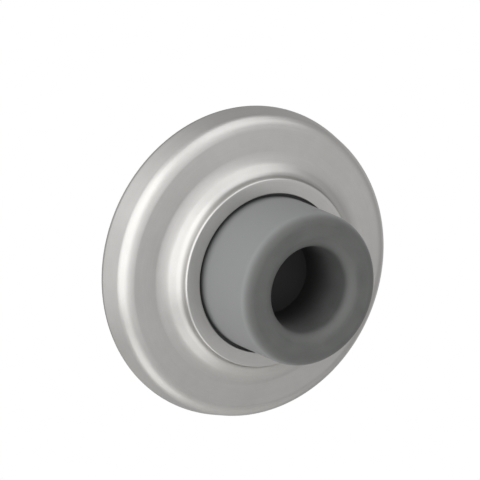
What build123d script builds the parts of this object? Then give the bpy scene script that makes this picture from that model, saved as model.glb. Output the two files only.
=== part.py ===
# Wall door stop: a drawn steel rose, a rubber bumper held in its opening and a steel plate in its rolled rim.
# Millimetres. The wall is the plane Y = 0, the stop stands out of it along -Y and +Z is up.
import os
from math import cos, radians, sin, tan

from build123d import *

# Rose, one drawn sheet; its rises are measured along the axis, out from the wall
rose_diameter = 63.5  # at its widest, just off the wall
sheet = 1.2
rim_roll = 3.0  # width of the rim turned in behind the plate
rim_inside_bend = 0.2
skirt_height = 5.85
skirt_lean = 16.5  # degrees, against the axis
skirt_edge_radius = 1.0
crown_rise = 1.4  # from the edge of the skirt up to the flat band
crown_slope = 42.0  # degrees, against the flat band
crown_radius = 3.0
cove_rise = 1.9  # from the flat band up to the foot of the neck
cove_slope = 32.0  # degrees, against the flat band
cove_radius = 5.0
neck_rise = 1.45  # from its foot up to the ring
neck_lean = 12.0  # degrees, against the axis
neck_bend_radius = 1.0
ring_diameter = 37.5
ring_edge_radius = 0.35
opening_diameter = 31.7

# Back plate, a pressed disc that the rolled rim holds
plate_thickness = 1.5
plate_clearance = 0.2  # all round, inside the skirt
plate_edge_clearance = 0.1  # of its edge chamfer over the bend of the rim
screw_hole_diameter = 5.2

# Bumper, one rubber moulding pressed in through the opening of the rose
projection = 25.4  # front face, from the wall
bumper_gap = 0.6  # all round, at the face of the ring
bumper_draft = 2.8  # degrees
bumper_lip_radius = 2.2
recess_diameter = 15.6  # at its floor
recess_draft = 1.8  # degrees
recess_mouth_radius = 2.4
web = 4.2  # rubber between the recess and the pocket
pocket_diameter = 16.0  # room for the head of the screw
pocket_depth = 4.0
flange_clearance = 0.3  # all round, inside the neck
flange_lead_in = 1.5  # chamfer that lets the flange through the opening

# Largest share of a wall that the fillets on it may take
skin_share = 0.95
front_share = 0.48

# Sizes that follow from the ones above
rim_radius = rose_diameter / 2
opening_radius = opening_diameter / 2
ring_radius = ring_diameter / 2
land_height = skirt_height + crown_rise
neck_foot_height = land_height + cove_rise
ring_height = neck_foot_height + neck_rise

skirt_angle = radians(skirt_lean)
crown_angle = radians(crown_slope)
cove_angle = radians(cove_slope)
neck_angle = radians(neck_lean)
skirt_turn = radians(90) - skirt_angle - crown_angle
neck_turn = radians(90) - neck_angle - cove_angle
ring_turn = radians(90) - neck_angle

rim_bend = sheet + rim_inside_bend
foot_radius = rim_radius + rim_bend * (1 / cos(skirt_angle) + tan(skirt_angle) - 1)
skirt_radius = foot_radius - skirt_height * tan(skirt_angle)
crown_foot_radius = skirt_radius - crown_rise / tan(crown_angle)
neck_foot_radius = ring_radius + neck_rise * tan(neck_angle)
cove_foot_radius = neck_foot_radius + cove_rise / tan(cove_angle)
neck_inside_radius = ring_radius - sheet * tan(ring_turn / 2)

# The crown, the cove and the neck leave a straight stretch of the skin, inside it as well
crown_room = skin_share * (crown_rise / sin(crown_angle) - sheet * tan(skirt_turn / 2))
cove_room = skin_share * cove_rise / sin(cove_angle) / 2
neck_room = skin_share * (neck_rise / cos(neck_angle) - sheet * tan(ring_turn / 2))
crown_fillet = min(crown_radius, crown_room / tan(crown_angle / 2))
cove_fillet = min(cove_radius, cove_room / tan(cove_angle / 2))
neck_fillet = min(neck_bend_radius, cove_room / tan(neck_turn / 2), neck_room / tan(neck_turn / 2))

plate_face_height = sheet + plate_thickness
plate_radius = foot_radius - plate_face_height * tan(skirt_angle) - sheet / cos(skirt_angle) - plate_clearance
flange_seat_height = ring_height - sheet
flange_radius = neck_inside_radius - flange_clearance
pocket_top_height = plate_face_height + pocket_depth
recess_floor_height = pocket_top_height + web

# The section plane has the radius as its x and the height from the wall as its y
section = Plane(origin=(0, 0, 0), x_dir=(1, 0, 0), z_dir=(0, 0, -1))
wall = Plane(origin=(0, 0, 0), x_dir=(1, 0, 0), z_dir=(0, -1, 0))


def bumper_radius(height):
    return opening_radius - bumper_gap - (height - ring_height) * tan(radians(bumper_draft))


# Rose: the outer skin from the rolled rim to the opening, thickened inwards, then its two crisp edges eased
with BuildPart() as rose:
    with BuildSketch(section):
        with BuildLine():
            FilletPolyline(
                (rim_radius - rim_roll, 0),
                (foot_radius, 0),
                (skirt_radius, skirt_height),
                (crown_foot_radius, land_height),
                (cove_foot_radius, land_height),
                (neck_foot_radius, neck_foot_height),
                (ring_radius, ring_height),
                (opening_radius, ring_height),
                radius=[rim_bend, 0, crown_fillet, cove_fillet, neck_fillet, 0],
            )
            offset(amount=sheet, side=Side.LEFT, kind=Kind.INTERSECTION)
        make_face()
    revolve(axis=Axis.Y)
    fillet(rose.faces().sort_by(Axis.Y)[0].outer_wire().edges(), ring_edge_radius)
    skirt_edges = rose.edges().filter_by(GeomType.CIRCLE).filter_by(
        lambda edge: abs(edge.center().Y + skirt_height) < sheet / 100
    )
    fillet(skirt_edges.sort_by(SortBy.RADIUS)[-1], skirt_edge_radius)

# Back plate: a disc on the inside of the rolled rim, with its edges eased over the bend
with BuildPart() as back_plate:
    with BuildSketch(wall.offset(sheet)):
        Circle(plate_radius)
        Circle(screw_hole_diameter / 2, mode=Mode.SUBTRACT)
    extrude(amount=plate_thickness)
    rim_edges = back_plate.edges().filter_by(GeomType.CIRCLE).group_by(SortBy.RADIUS)[-1]
    chamfer(rim_edges, rim_inside_bend + plate_edge_clearance)

# Bumper: flange under the ring, tapered body, blind recess in front and a pocket behind
recess_mouth = recess_diameter / 2 + (projection - recess_floor_height) * tan(radians(recess_draft))
front_wall = bumper_radius(projection) - recess_mouth
lip_fillet = min(bumper_lip_radius, front_share * front_wall)
mouth_fillet = min(recess_mouth_radius, front_share * front_wall)
with BuildPart() as bumper:
    with BuildSketch(section):
        with BuildLine():
            FilletPolyline(
                (0, pocket_top_height),
                (pocket_diameter / 2, pocket_top_height),
                (pocket_diameter / 2, plate_face_height),
                (flange_radius - flange_lead_in, plate_face_height),
                (flange_radius, plate_face_height + flange_lead_in),
                (flange_radius, flange_seat_height),
                (bumper_radius(flange_seat_height), flange_seat_height),
                (bumper_radius(projection), projection),
                (recess_mouth, projection),
                (recess_diameter / 2, recess_floor_height),
                (0, recess_floor_height),
                radius=[0, 0, 0, 0, 0, 0, 0, lip_fillet, mouth_fillet, 0, 0],
                close=True,
            )
        make_face()
    revolve(axis=Axis.Y)

os.makedirs("parts", exist_ok=True)
for name, piece in (("rose", rose), ("back_plate", back_plate), ("bumper", bumper)):
    piece.part.label = name
    export_step(piece.part, f"parts/{name}.step")
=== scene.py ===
# Wall door stop: a drawn satin steel rose, a grey rubber bumper in its opening and a zinc plated back plate.
# The wall is the plane y = 0, the stop stands out of it along -y; sizes in the dictionaries are millimetres.
from math import cos, pi, radians, sin, tan

import bmesh
import bpy
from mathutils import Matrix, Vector


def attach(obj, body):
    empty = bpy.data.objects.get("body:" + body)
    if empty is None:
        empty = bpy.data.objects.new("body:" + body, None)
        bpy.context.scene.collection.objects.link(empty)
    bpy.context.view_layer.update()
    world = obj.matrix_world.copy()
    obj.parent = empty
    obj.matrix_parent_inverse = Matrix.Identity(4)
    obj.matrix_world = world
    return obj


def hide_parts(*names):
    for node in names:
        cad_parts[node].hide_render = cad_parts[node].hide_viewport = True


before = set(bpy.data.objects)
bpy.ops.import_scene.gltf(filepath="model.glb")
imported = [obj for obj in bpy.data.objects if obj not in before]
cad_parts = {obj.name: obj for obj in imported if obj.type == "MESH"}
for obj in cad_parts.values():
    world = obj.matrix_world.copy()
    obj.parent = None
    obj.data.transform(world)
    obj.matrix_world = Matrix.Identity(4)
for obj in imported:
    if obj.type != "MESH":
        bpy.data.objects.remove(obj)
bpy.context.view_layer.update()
scene = bpy.context.scene
scene.view_settings.view_transform = "Standard"
print("frame loaded:", ", ".join(sorted(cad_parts)))


smoothAngle = 40  # degrees; flatter edges are shaded smooth
mergeReach = 0.001  # mm


def mm(value):
    return value * 0.001


# Modelling helpers: every piece is turned about the y axis, ring by ring

def startRing(name, segments, ring):  # a bare circle of edges, ready to be drawn out
    radius, height = ring
    bpy.ops.object.select_all(action="DESELECT")
    bpy.ops.mesh.primitive_circle_add(
        vertices=segments,
        radius=mm(radius),
        location=(0, -mm(height), 0),
        rotation=(radians(90), 0, 0),
    )
    piece = bpy.context.object
    piece.name = name
    piece.data.name = name
    bpy.ops.object.transform_apply(location=True, rotation=True, scale=True)
    bpy.ops.object.mode_set(mode="EDIT")
    bpy.ops.mesh.select_mode(type="EDGE")
    bpy.ops.mesh.select_all(action="SELECT")
    return piece


def drawRings(rings):  # pulls the selected ring from each (radius, height) to the next one
    for start, end in zip(rings, rings[1:]):
        bpy.ops.mesh.extrude_edges_move(TRANSFORM_OT_translate={"value": (0, mm(start[1] - end[1]), 0)})
        share = end[0] / start[0]
        bpy.ops.transform.resize(value=(share, 1, share), center_override=(0, -mm(end[1]), 0))


def closeRing():  # a disc across the selected ring
    bpy.ops.mesh.extrude_edges_move(TRANSFORM_OT_translate={"value": (0, 0, 0)})
    bpy.ops.mesh.merge(type="CENTER")


def pickRings(piece, rings, reach=0.02):  # selects the edge loops at these (radius, height)
    bpy.ops.mesh.select_all(action="DESELECT")
    mesh = bmesh.from_edit_mesh(piece.data)
    for edge in mesh.edges:
        onRing = [
            ring
            for ring in rings
            if all(
                abs(Vector((end.co.x, end.co.z)).length - mm(ring[0])) < mm(reach)
                and abs(end.co.y + mm(ring[1])) < mm(reach)
                for end in edge.verts
            )
        ]
        edge.select_set(bool(onRing))
    mesh.select_flush_mode()
    bmesh.update_edit_mesh(piece.data)


def roundRings(piece, rings, radius, turn, segments):  # turn is how far the section bends there, in degrees
    pickRings(piece, rings)
    tangentLength = radius * tan(radians(turn) / 2)
    bpy.ops.mesh.bevel(offset=mm(tangentLength), offset_type="OFFSET", segments=segments, affect="EDGES")


def faceOut():
    bpy.ops.mesh.select_all(action="SELECT")
    bpy.ops.mesh.remove_doubles(threshold=mm(mergeReach))
    bpy.ops.mesh.normals_make_consistent(inside=False)


def finishPiece(piece, finish, node):  # smooth shading, finish and place in the frame
    bpy.ops.object.mode_set(mode="OBJECT")
    bpy.ops.object.shade_smooth_by_angle(angle=radians(smoothAngle))
    weigh = piece.modifiers.new("evenShading", "WEIGHTED_NORMAL")
    weigh.keep_sharp = True
    bpy.ops.object.modifier_apply(modifier=weigh.name)
    piece.data.materials.clear()
    piece.data.materials.append(finish)
    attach(piece, "root")
    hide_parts(node)
    print(piece.name, "has", len(piece.data.polygons), "faces")


# Shader helpers

class Wire:  # one output of a shader node; arithmetic on it adds Math nodes
    def __init__(self, tree, socket):
        self.tree = tree
        self.socket = socket

    def add(self, kind, settings=None, inputs=None, output=0):  # any node: its settings, then its sockets
        node = self.tree.nodes.new(kind)
        for name, value in (settings or {}).items():
            setattr(node, name, value)
        for name, value in (inputs or {}).items():
            if isinstance(value, Wire):
                self.tree.links.new(value.socket, node.inputs[name])
            else:
                node.inputs[name].default_value = value
        return Wire(self.tree, node.outputs[output])

    def out(self, name):  # another output of the same node
        return Wire(self.tree, self.socket.node.outputs[name])

    def feed(self, shader, name):
        self.tree.links.new(self.socket, shader.inputs[name])

    def math(self, operation, *values):
        return self.add("ShaderNodeMath", {"operation": operation}, dict(enumerate(values)))

    def __add__(self, other):
        return self.math("ADD", self, other)

    def __sub__(self, other):
        return self.math("SUBTRACT", self, other)

    def __rsub__(self, other):
        return self.math("SUBTRACT", other, self)

    def __mul__(self, other):
        return self.math("MULTIPLY", self, other)

    def __truediv__(self, other):
        return self.math("DIVIDE", self, other)

    def __rtruediv__(self, other):
        return self.math("DIVIDE", other, self)

    def __pow__(self, other):
        return self.math("POWER", self, other)

    def __rpow__(self, other):
        return self.math("POWER", other, self)

    __radd__ = __add__
    __rmul__ = __mul__

    def orMore(self, other):  # the larger of the two
        return self.math("MAXIMUM", self, other)

    def between(self, low, high):  # 0 below low, 1 above high, smooth from one to the other
        settings = {"interpolation_type": "SMOOTHSTEP"}
        return self.add("ShaderNodeMapRange", settings, {"Value": self, "From Min": low, "From Max": high})

    def blend(self, first, second):  # colours mixed by this value
        return self.add("ShaderNodeMix", {"data_type": "RGBA"}, {0: self, 6: first, 7: second}, 2)

    def grain(self, size, detail=2.0, roughness=0.5):  # even noise with spots of about that size in mm
        inputs = {"Vector": self, "Scale": 1 / size, "Detail": detail, "Roughness": roughness}
        return self.add("ShaderNodeTexNoise", None, inputs)


class Turned:  # where a point lies on a turned piece, in mm
    def __init__(self, tree):
        coords = Wire(tree, tree.nodes.new("ShaderNodeTexCoord").outputs["Object"])
        scale = {"operation": "SCALE"}
        self.place = coords.add("ShaderNodeVectorMath", scale, {"Vector": coords, "Scale": 1000.0})
        self.x = coords.add("ShaderNodeSeparateXYZ", None, {0: self.place})
        self.z = self.x.out("Z")
        self.height = self.x.out("Y") * -1
        self.radius = (self.x * self.x + self.z * self.z) ** 0.5

    def lines(self, width, turn, detail=2.0):  # lines round the axis; turn says how soon one breaks off
        safeRadius = self.radius + 0.01
        across = {
            "X": self.radius / width,
            "Y": self.height / width,
            "Z": self.x / safeRadius * turn,
        }
        vector = self.radius.add("ShaderNodeCombineXYZ", None, across)
        inputs = {"Vector": vector, "W": self.z / safeRadius * turn, "Scale": 1.0, "Detail": detail}
        return self.radius.add("ShaderNodeTexNoise", {"noise_dimensions": "4D"}, inputs)

    def nearRing(self, ring, inner, outer):  # 1 on a ring at (radius, height), 0 beyond outer
        away = (self.radius - ring[0]) ** 2 + (self.height - ring[1]) ** 2
        return 1 - (away ** 0.5).between(inner, outer)


def newFinish(name, settings):
    finish = bpy.data.materials.new(name)
    finish.use_nodes = True
    shader = finish.node_tree.nodes["Principled BSDF"]
    for socket, value in settings.items():
        shader.inputs[socket].default_value = value
    return finish, shader, Turned(finish.node_tree)


def bump(height, strength, depth):
    return height.add("ShaderNodeBump", None, {"Height": height, "Strength": strength, "Distance": mm(depth)})


# Rose: one drawn sheet with its rim rolled in at the wall

rose = {
    "segments": 256,
    "rimRadius": 31.72,  # at its widest, just off the wall
    "rollRadius": 28.75,  # where the rolled rim ends
    "rollBend": 1.4,
    "skirtLean": 16.5,
    "skirtHeight": 5.85,
    "skirtEdge": 2.0,
    "crownSlope": 42.0,
    "crown": 3.0,
    "landHeight": 7.25,  # flat band
    "coveSlope": 32.0,
    "cove": 5.0,
    "neckLean": 17.0,
    "neckBend": 2.6,
    "neckFootHeight": 9.15,
    "ringRadius": 18.75,
    "ringHeight": 10.6,
    "ringEdge": 0.35,
    "openingRadius": 15.85,
    "sheet": 1.2,
    "cutEdge": 0.15,  # easing of the two cut edges
    "light": (0.650, 0.640, 0.625, 1),
    "dark": (0.585, 0.575, 0.560, 1),
    "shadeTone": (0.300, 0.293, 0.283, 1),  # painted shade under the ring and along the rim at the wall
    "neckShade": {"out": 0.15, "drop": 0.8, "full": 0.2, "gone": 0.9, "share": 0.6},  # from the ring's edge
    "foldShade": {"in": 0.1, "rise": 0.6, "full": 0.5, "gone": 1.2, "share": 0.85},  # from the rim at the wall
    "fineLine": 0.14,
    "broadLine": 0.9,
    "cloud": 14.0,
    "mottle": 2.2,
    "speck": 0.22,
    "roughness": 0.38,
}


def makeSatinSteel():
    finish, shader, turned = newFinish("satinSteel", {"Metallic": 1.0})
    fine = turned.lines(rose["fineLine"], 3.0)
    broad = turned.lines(rose["broadLine"], 1.6)
    cloud = turned.place.grain(rose["cloud"])
    mottle = turned.place.grain(rose["mottle"])
    speck = turned.place.grain(rose["speck"])
    rubbed = turned.nearRing((rose["ringRadius"] - 0.1, rose["ringHeight"] - 0.1), 0.15, 0.8)
    tone = fine * 0.25 + broad * 0.10 + cloud * 0.25 + mottle * 0.20 + speck * 0.20 + rubbed * 0.2
    brushed = tone.between(0.3, 0.7).blend(rose["dark"], rose["light"])
    # painted shade: the brushed tone is darkened under the ring and along the rim at the wall
    neck, fold = rose["neckShade"], rose["foldShade"]
    underRing = (rose["ringRadius"] + neck["out"], rose["ringHeight"] - neck["drop"])
    atWall = (rose["rimRadius"] - fold["in"], fold["rise"])
    neckShade = turned.nearRing(underRing, neck["full"], neck["gone"]) * neck["share"]
    foldShade = turned.nearRing(atWall, fold["full"], fold["gone"]) * fold["share"]
    neckShade.orMore(foldShade).blend(brushed, rose["shadeTone"]).feed(shader, "Base Color")
    uneven = (fine - 0.5) * 0.10 + (cloud - 0.5) * 0.06 + (speck - 0.5) * 0.05
    rough = rose["roughness"] + uneven - rubbed * 0.06
    rough.feed(shader, "Roughness")
    bump(fine * 0.5 + speck * 0.5, 0.10, 0.02).feed(shader, "Normal")
    return finish


def makeRose():
    lean = radians(rose["skirtLean"])
    slope = radians(rose["crownSlope"])
    footRadius = rose["rimRadius"] + rose["rollBend"] * (1 / cos(lean) + tan(lean) - 1)
    skirtRadius = footRadius - rose["skirtHeight"] * tan(lean)
    crownRadius = skirtRadius - (rose["landHeight"] - rose["skirtHeight"]) / tan(slope)
    neckHeight = rose["neckFootHeight"]
    neckRadius = rose["ringRadius"] + (rose["ringHeight"] - neckHeight) * tan(radians(rose["neckLean"]))
    coveRadius = neckRadius + (neckHeight - rose["landHeight"]) / tan(radians(rose["coveSlope"]))
    rollEnd = (rose["rollRadius"], 0)
    foot = (footRadius, 0)
    skirtTop = (skirtRadius, rose["skirtHeight"])
    crownTop = (crownRadius, rose["landHeight"])
    coveFoot = (coveRadius, rose["landHeight"])
    neckFoot = (neckRadius, neckHeight)
    ringEdge = (rose["ringRadius"], rose["ringHeight"])
    opening = (rose["openingRadius"], rose["ringHeight"])
    piece = startRing("roseShell", rose["segments"], rollEnd)
    drawRings([rollEnd, foot, skirtTop, crownTop, coveFoot, neckFoot, ringEdge, opening])
    ringTurn = 90 - rose["neckLean"]
    skirtTurn = 90 - rose["skirtLean"] - rose["crownSlope"]
    roundRings(piece, [foot], rose["rollBend"], 90 + rose["skirtLean"], segments=12)
    roundRings(piece, [crownTop], rose["crown"], rose["crownSlope"], segments=12)
    roundRings(piece, [skirtTop], rose["skirtEdge"], skirtTurn, segments=6)
    roundRings(piece, [coveFoot], rose["cove"], rose["coveSlope"], segments=10)
    faceOut()
    bpy.ops.object.mode_set(mode="OBJECT")
    sheet = piece.modifiers.new("sheet", "SOLIDIFY")
    sheet.thickness = mm(rose["sheet"])
    sheet.offset = -1
    sheet.use_even_offset = True
    bpy.ops.object.modifier_apply(modifier=sheet.name)
    bpy.ops.object.mode_set(mode="EDIT")
    bpy.ops.mesh.select_mode(type="EDGE")
    roundRings(piece, [ringEdge], rose["ringEdge"], ringTurn, segments=5)
    roundRings(piece, [neckFoot], rose["neckBend"], ringTurn - rose["coveSlope"], segments=12)
    openingCut = [(rose["openingRadius"], rose["ringHeight"] - drop) for drop in (0, rose["sheet"])]
    rollCut = [(rose["rollRadius"], rise) for rise in (0, rose["sheet"])]
    roundRings(piece, openingCut + rollCut, rose["cutEdge"], 90, segments=3)
    finishPiece(piece, makeSatinSteel(), "rose")


makeRose()


# Bumper: one rubber moulding, with a recess in front and room for the screw's head behind

bumper = {
    "segments": 192,
    "pocketRadius": 8.0,
    "backHeight": 2.7,  # it bears on the plate here
    "pocketHeight": 6.7,
    "leadIn": 1.5,
    "flangeRadius": 17.478,
    "seatHeight": 9.4,
    "seatRadius": 15.309,
    "frontRadius": 14.526,
    "frontHeight": 25.4,
    "lip": 2.2,
    "draft": 2.8,
    "mouthRadius": 8.256,
    "mouth": 2.4,
    "recessDraft": 1.8,
    "floorRadius": 7.8,
    "floorHeight": 10.9,
    "mouldEdge": 0.25,
    "light": (0.113, 0.117, 0.112, 1),
    "dark": (0.090, 0.094, 0.090, 1),
    "pale": (0.262, 0.269, 0.268, 1),  # painted light: the side lighter than the front
    "litSideShare": 0.8,
    "litSideFades": (1.6, 0.2),  # from and to, behind the front
    "paintedShade": (0.023, 0.024, 0.023, 1),  # painted shade in the recess and in the joint with the ring
    "shadeEnds": 4.0,  # behind the front
    "joint": (-1.0, 2.0),  # fades out from and to, above the ring
    "jointShare": 0.7,
    "grain": 0.16,
    "mottle": 3.5,
    "mouldLine": 0.35,
    "roughness": 0.55,
}


def makeGreyRubber():
    finish, shader, turned = newFinish("greyRubber", {"Specular IOR Level": 0.45})
    front, mouthRadius = bumper["frontHeight"], bumper["mouthRadius"]
    grain = turned.place.grain(bumper["grain"], 3.0, 0.6)
    mottle = turned.place.grain(bumper["mottle"], 3.0)
    mould = turned.lines(bumper["mouldLine"], 2.0)
    # lighter on the outer lip: a painted highlight, with the smoother finish of rubbing wear; lighter on the
    # mouth's rounding: a painted highlight
    rubbed = turned.nearRing((bumper["frontRadius"] - 0.8, front - 0.8), 0.3, 1.6)
    lightRing = turned.nearRing((mouthRadius + 0.7, front - 0.7), 0.3, 1.3)
    tone = mottle * 0.55 + grain * 0.25 + mould * 0.2 + rubbed * 0.12 + lightRing * 0.3
    rubber = tone.between(0.3, 0.7).blend(bumper["dark"], bumper["light"])
    # painted light: the side of the bumper is made lighter than its front
    fadeFrom, fadeTo = bumper["litSideFades"]
    behindFront = 1 - turned.height.between(front - fadeFrom, front - fadeTo)
    outer = turned.radius.between(bumper["floorRadius"], bumper["frontRadius"] - bumper["lip"])
    withLitSide = (behindFront * outer * bumper["litSideShare"]).blend(rubber, bumper["pale"])
    # painted shade: darkest deep in the recess and where the bumper meets the ring
    within = 1 - turned.radius.between(mouthRadius, mouthRadius + bumper["mouth"])
    paintedShade = within * (1 - turned.height.between(bumper["floorHeight"] + 1, front - bumper["shadeEnds"]))
    jointFrom, jointTo = [rose["ringHeight"] + rise for rise in bumper["joint"]]
    joint = (1 - turned.height.between(jointFrom, jointTo)) * bumper["jointShare"]
    paintedShade.orMore(joint).blend(withLitSide, bumper["paintedShade"]).feed(shader, "Base Color")
    rough = bumper["roughness"] + (grain - 0.5) * 0.16 + (mottle - 0.5) * 0.10 - rubbed * 0.05
    rough.feed(shader, "Roughness")
    bump(grain * 0.8 + mould * 0.2, 0.25, 0.03).feed(shader, "Normal")
    return finish


def makeBumper():
    size = bumper
    pocketEdge = (size["pocketRadius"], size["backHeight"])
    pocketTop = (size["pocketRadius"], size["pocketHeight"])
    leadStart = (size["flangeRadius"] - size["leadIn"], size["backHeight"])
    leadEnd = (size["flangeRadius"], size["backHeight"] + size["leadIn"])
    flangeTop = (size["flangeRadius"], size["seatHeight"])
    seat = (size["seatRadius"], size["seatHeight"])
    lip = (size["frontRadius"], size["frontHeight"])
    mouth = (size["mouthRadius"], size["frontHeight"])
    recessFloor = (size["floorRadius"], size["floorHeight"])
    piece = startRing("bumperMoulding", size["segments"], pocketEdge)
    drawRings([pocketEdge, leadStart, leadEnd, flangeTop, seat, lip, mouth, recessFloor])
    closeRing()
    pickRings(piece, [pocketEdge])
    drawRings([pocketEdge, pocketTop])
    closeRing()
    faceOut()
    roundRings(piece, [lip], size["lip"], 90 - size["draft"], segments=16)
    roundRings(piece, [mouth], size["mouth"], 90 - size["recessDraft"], segments=16)
    roundRings(piece, [pocketTop, pocketEdge, flangeTop, seat], size["mouldEdge"], 90, segments=4)
    roundRings(piece, [leadStart, leadEnd], size["mouldEdge"], 45, segments=3)
    faceOut()
    finishPiece(piece, makeGreyRubber(), "bumper")


makeBumper()


# Back plate: a pressed disc that the rolled rim holds, with the screw hole in its middle

plate = {
    "segments": 192,
    "holeRadius": 2.6,
    "radius": 29.973,
    "back": 1.2,
    "front": 2.7,
    "chamfer": 0.3,
    "cutEdge": 0.12,
    "light": (0.70, 0.71, 0.72, 1),
    "dark": (0.58, 0.59, 0.61, 1),
    "roughness": 0.36,
    "rolled": (0.05, 1.0, 6.0),  # lines of the rolling mill, along x
    "cloud": 6.0,
}


def makeZincPlate():
    finish, shader, turned = newFinish("zincPlate", {"Metallic": 1.0})
    rolled = turned.place.add("ShaderNodeMapping", None, {0: turned.place, "Scale": plate["rolled"]})
    lines = rolled.grain(1.0, 3.0)
    cloud = turned.place.grain(plate["cloud"], 3.0)
    # wear: lighter round the screw hole
    lightRing = turned.nearRing((plate["holeRadius"] + 1.8, plate["back"]), 0.6, 3.0)
    tone = lines * 0.4 + cloud * 0.6 + lightRing * 0.15
    tone.between(0.3, 0.7).blend(plate["dark"], plate["light"]).feed(shader, "Base Color")
    rough = plate["roughness"] + (lines - 0.5) * 0.15 + (cloud - 0.5) * 0.15
    rough.feed(shader, "Roughness")
    bump(lines, 0.15, 0.02).feed(shader, "Normal")
    return finish


def makePlate():
    size = plate
    holeBack = (size["holeRadius"], size["back"])
    rimBack = (size["radius"], size["back"])
    rimFront = (size["radius"], size["front"])
    holeFront = (size["holeRadius"], size["front"])
    piece = startRing("backPlateDisc", size["segments"], holeBack)
    drawRings([holeBack, rimBack, rimFront, holeFront, holeBack])
    faceOut()
    roundRings(piece, [rimBack, rimFront], size["chamfer"], 90, segments=1)
    roundRings(piece, [holeBack, holeFront], size["cutEdge"], 90, segments=3)
    faceOut()
    finishPiece(piece, makeZincPlate(), "back_plate")


makePlate()


# Studio: pale floor, soft lamps, white surroundings and the camera

studio = {
    "floorAt": (-0.36, -0.36, -0.7),
    "floorSize": 1.8,
    "floorTurn": 45,
    "floorColour": (0.80, 0.80, 0.79, 1),
    "floorRoughness": 0.9,
    "surround": 0.38,  # level of the room round the stop
    "glow": 0.50,  # what the room gains towards its bright side
    "glowTurn": 200,  # where that side is, as for the lamps
    "glowRise": 0,
    "glowSpan": (-0.4, 1.0),  # of the cosine to that side, none to full
    "behind": (0.93, 0.995),  # of the cosine to +y, where metal sees the white background
    "cameraAt": (-0.11786, -0.20302, 0.06036),
    "cameraTurn": (76.64, 0, -29.91),
    "lens": 90,
    "sensor": 36,
    "clipStart": 0.01,
}
lamps = [  # turn is round the z axis from +x, level is how bright its face is
    {"name": "softboxLeft", "turn": 205, "rise": 13, "away": 0.6, "size": (0.80, 1.10), "level": 0.79},
    {"name": "softboxBack", "turn": 140, "rise": 45, "away": 0.6, "size": (0.60, 0.60), "level": 0.18},
    {"name": "softboxFront", "turn": 258, "rise": 10, "away": 0.6, "size": (0.66, 0.66), "level": 0.25},
    {"name": "softboxRight", "turn": 305, "rise": 15, "away": 0.6, "size": (0.73, 0.73), "level": 0.21},
    {"name": "softboxTop", "turn": 300, "rise": 60, "away": 0.7, "size": (0.60, 0.60), "level": 0.85},
    {"name": "softboxLow", "turn": 220, "rise": -57, "away": 0.6, "size": (0.45, 0.45), "level": 0.65},
    {"name": "softboxKey", "turn": 236, "rise": 44, "away": 0.6, "size": (0.40, 0.40), "level": 0.26},
    {"name": "softboxEdge", "turn": 20, "rise": -8, "away": 0.6, "size": (0.40, 0.60), "level": 0.18},
]


def makeFloor():
    bpy.ops.object.select_all(action="DESELECT")
    bpy.ops.mesh.primitive_plane_add(size=studio["floorSize"], location=studio["floorAt"])
    bpy.context.object.rotation_euler.z = radians(studio["floorTurn"])
    floor = bpy.context.object
    floor.name = "floor"
    finish, shader, turned = newFinish("paleFloor", {"Roughness": studio["floorRoughness"]})
    shader.inputs["Base Color"].default_value = studio["floorColour"]
    seen = turned.place.add("ShaderNodeLightPath", output="Is Camera Ray")
    white = seen.add("ShaderNodeEmission", None, {"Strength": 1.0})
    plain = Wire(finish.node_tree, shader.outputs[0])
    mixed = seen.add("ShaderNodeMixShader", None, {0: seen, 1: plain, 2: white})
    mixed.feed(finish.node_tree.nodes["Material Output"], "Surface")
    floor.data.materials.append(finish)


def direction(turn, rise):  # from degrees round the z axis and above the floor
    turn, rise = radians(turn), radians(rise)
    return Vector((cos(turn) * cos(rise), sin(turn) * cos(rise), sin(rise)))


def makeSurround():  # a room with one bright side, and white behind the stop
    world = bpy.data.worlds.new("studio")
    scene.world = world
    world.use_nodes = True
    tree = world.node_tree
    background = tree.nodes["Background"]
    background.inputs["Color"].default_value = (1, 1, 1, 1)
    ray = Wire(tree, tree.nodes.new("ShaderNodeLightPath").outputs["Is Camera Ray"])
    toward = ray.add("ShaderNodeTexCoord", output="Generated")
    brightSide = direction(studio["glowTurn"], studio["glowRise"])
    dot = {"operation": "DOT_PRODUCT"}
    facing = toward.add("ShaderNodeVectorMath", dot, {0: toward, 1: brightSide}, "Value")
    glow = facing.between(*studio["glowSpan"])
    along = toward.add("ShaderNodeSeparateXYZ", None, {0: toward}, "Y")
    room = studio["surround"] + glow * studio["glow"]
    behind = along.between(*studio["behind"])
    mirrored = ray.out("Is Glossy Ray").orMore(ray.out("Is Transmission Ray"))
    white = ray.orMore(mirrored * behind)
    level = white + (1 - white) * room
    level.feed(background, "Strength")


def makeLamps():
    for lamp in lamps:
        place = lamp["away"] * direction(lamp["turn"], lamp["rise"])
        bpy.ops.object.light_add(type="AREA", location=place)
        light = bpy.context.object
        light.name = lamp["name"]
        light.rotation_euler = (-place).to_track_quat("-Z", "Y").to_euler()
        light.data.shape = "RECTANGLE"
        light.data.size, light.data.size_y = lamp["size"]
        light.data.energy = lamp["level"] * pi * light.data.size * light.data.size_y


def makeCamera():
    turn = [radians(angle) for angle in studio["cameraTurn"]]
    bpy.ops.object.camera_add(location=studio["cameraAt"], rotation=turn)
    camera = bpy.context.object
    camera.data.lens = studio["lens"]
    camera.data.sensor_width = studio["sensor"]
    camera.data.clip_start = studio["clipStart"]
    scene.camera = camera


makeFloor()
makeSurround()
makeLamps()
makeCamera()
print("studio ready")
